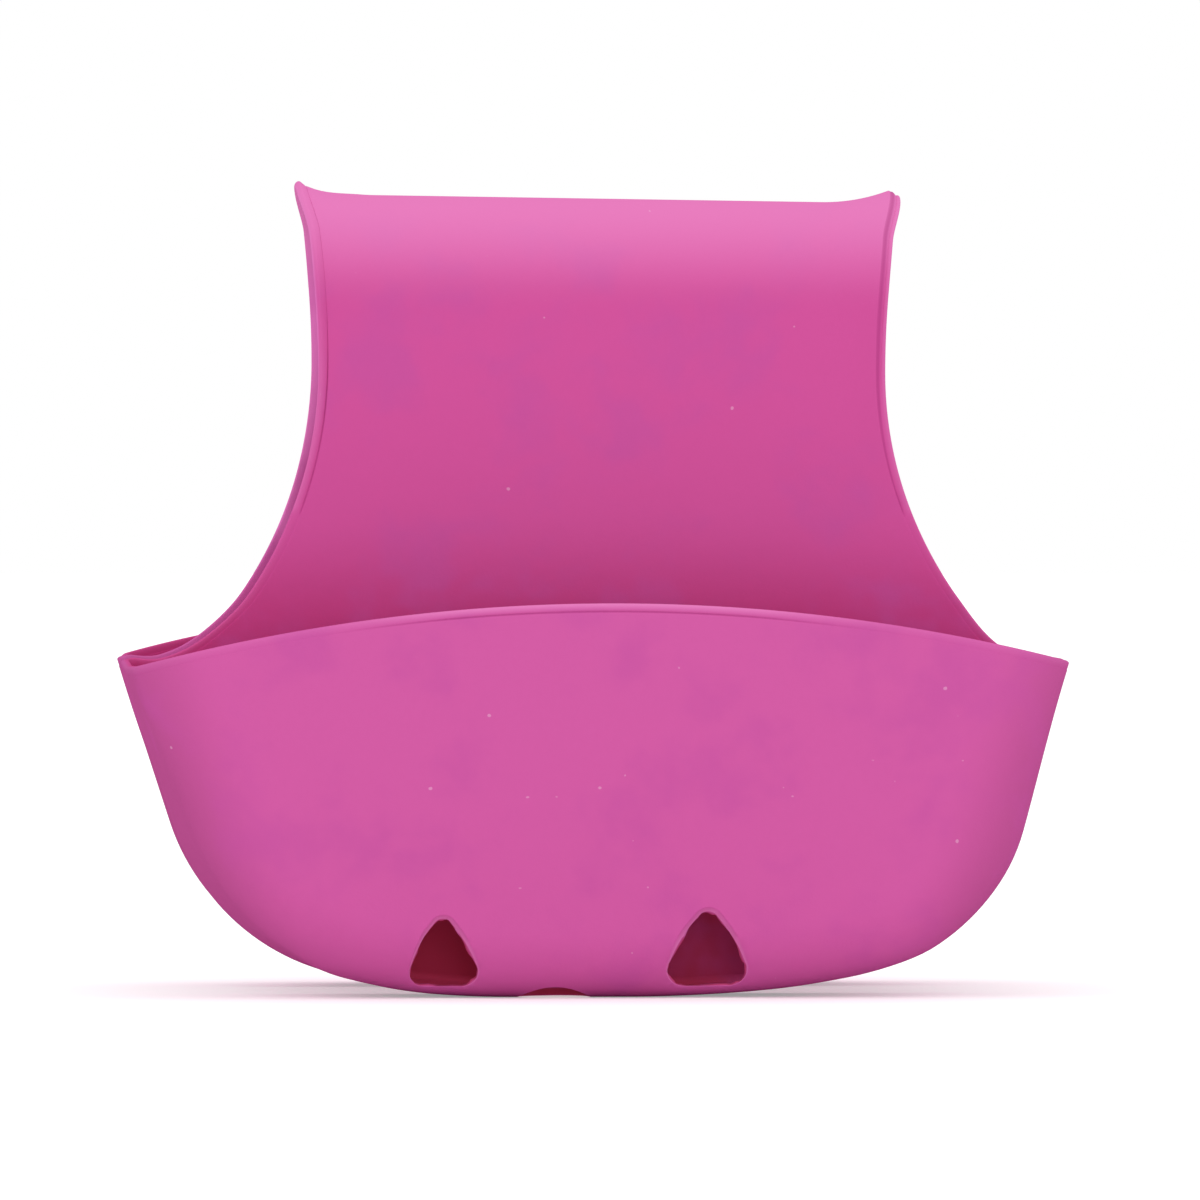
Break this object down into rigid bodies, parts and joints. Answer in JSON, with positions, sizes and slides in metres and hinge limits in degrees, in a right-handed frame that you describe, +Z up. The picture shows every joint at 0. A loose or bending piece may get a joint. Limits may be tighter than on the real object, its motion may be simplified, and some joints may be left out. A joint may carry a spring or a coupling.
{
  "type": "sink caddy",
  "caption": "Soft rubber saddle caddy: pockets with drains on a strap that folds over the wall between sink bowls.",
  "frame": {"origin": "under the middle of the caddy, on the surface that its two pockets stand on", "axes": "+X along the sink wall, +Y from the front pocket to the rear pocket, +Z up"},
  "size_m": [0.2216, 0.1268, 0.1893],
  "materials": {
    "rubber": "matte"
  },
  "bodies": {
    "saddle_ridge": {"saddle_ridge": "rubber"},
    "front_strip_1": {"front_saddle_strip_1": "rubber"},
    "front_strip_2": {"front_saddle_strip_2": "rubber"},
    "front_strip_3": {"front_saddle_strip_3": "rubber"},
    "front_leg": {"front_hanging_panel": "rubber", "front_pocket_floor": "rubber", "front_left_gusset": "rubber", "front_right_gusset": "rubber"},
    "front_face": {"front_pocket_face": "rubber"},
    "rear_strip_1": {"rear_saddle_strip_1": "rubber"},
    "rear_strip_2": {"rear_saddle_strip_2": "rubber"},
    "rear_strip_3": {"rear_saddle_strip_3": "rubber"},
    "rear_leg": {"rear_hanging_panel": "rubber", "rear_pocket_floor": "rubber", "rear_left_gusset": "rubber", "rear_right_gusset": "rubber"},
    "rear_face": {"rear_pocket_face": "rubber"}
  },
  "joints": [
    {"name": "front_bend_1", "type": "hinge", "parent": "saddle_ridge", "child": "front_strip_1", "pos_m": [0, -0.0041, 0.1851], "axis": [-1, 0, 0], "range_deg": [-1.5, 22.5], "stiffness_Nm_per_rad": 0.08},
    {"name": "front_bend_2", "type": "hinge", "parent": "front_strip_1", "child": "front_strip_2", "pos_m": [0, -0.01167, 0.18196], "axis": [-1, 0, 0], "range_deg": [-1.5, 22.5], "stiffness_Nm_per_rad": 0.08},
    {"name": "front_bend_3", "type": "hinge", "parent": "front_strip_2", "child": "front_strip_3", "pos_m": [0, -0.01746, 0.17617], "axis": [-1, 0, 0], "range_deg": [-1.5, 22.5], "stiffness_Nm_per_rad": 0.08},
    {"name": "front_bend_4", "type": "hinge", "parent": "front_strip_3", "child": "front_leg", "pos_m": [0, -0.0206, 0.1686], "axis": [-1, 0, 0], "range_deg": [-1.5, 22.5], "stiffness_Nm_per_rad": 0.08},
    {"name": "front_mouth", "type": "hinge", "parent": "front_leg", "child": "front_face", "pos_m": [0, -0.05706, 0.024], "axis": [1, 0, 0], "range_deg": [0, 12], "stiffness_Nm_per_rad": 0.4},
    {"name": "rear_bend_1", "type": "hinge", "parent": "saddle_ridge", "child": "rear_strip_1", "pos_m": [0, 0.0041, 0.1851], "axis": [1, 0, 0], "range_deg": [-1.5, 22.5], "stiffness_Nm_per_rad": 0.08},
    {"name": "rear_bend_2", "type": "hinge", "parent": "rear_strip_1", "child": "rear_strip_2", "pos_m": [0, 0.01167, 0.18196], "axis": [1, 0, 0], "range_deg": [-1.5, 22.5], "stiffness_Nm_per_rad": 0.08},
    {"name": "rear_bend_3", "type": "hinge", "parent": "rear_strip_2", "child": "rear_strip_3", "pos_m": [0, 0.01746, 0.17617], "axis": [1, 0, 0], "range_deg": [-1.5, 22.5], "stiffness_Nm_per_rad": 0.08},
    {"name": "rear_bend_4", "type": "hinge", "parent": "rear_strip_3", "child": "rear_leg", "pos_m": [0, 0.0206, 0.1686], "axis": [1, 0, 0], "range_deg": [-1.5, 22.5], "stiffness_Nm_per_rad": 0.08},
    {"name": "rear_mouth", "type": "hinge", "parent": "rear_leg", "child": "rear_face", "pos_m": [0, 0.05706, 0.024], "axis": [-1, 0, 0], "range_deg": [0, 12], "stiffness_Nm_per_rad": 0.4}
  ]
}
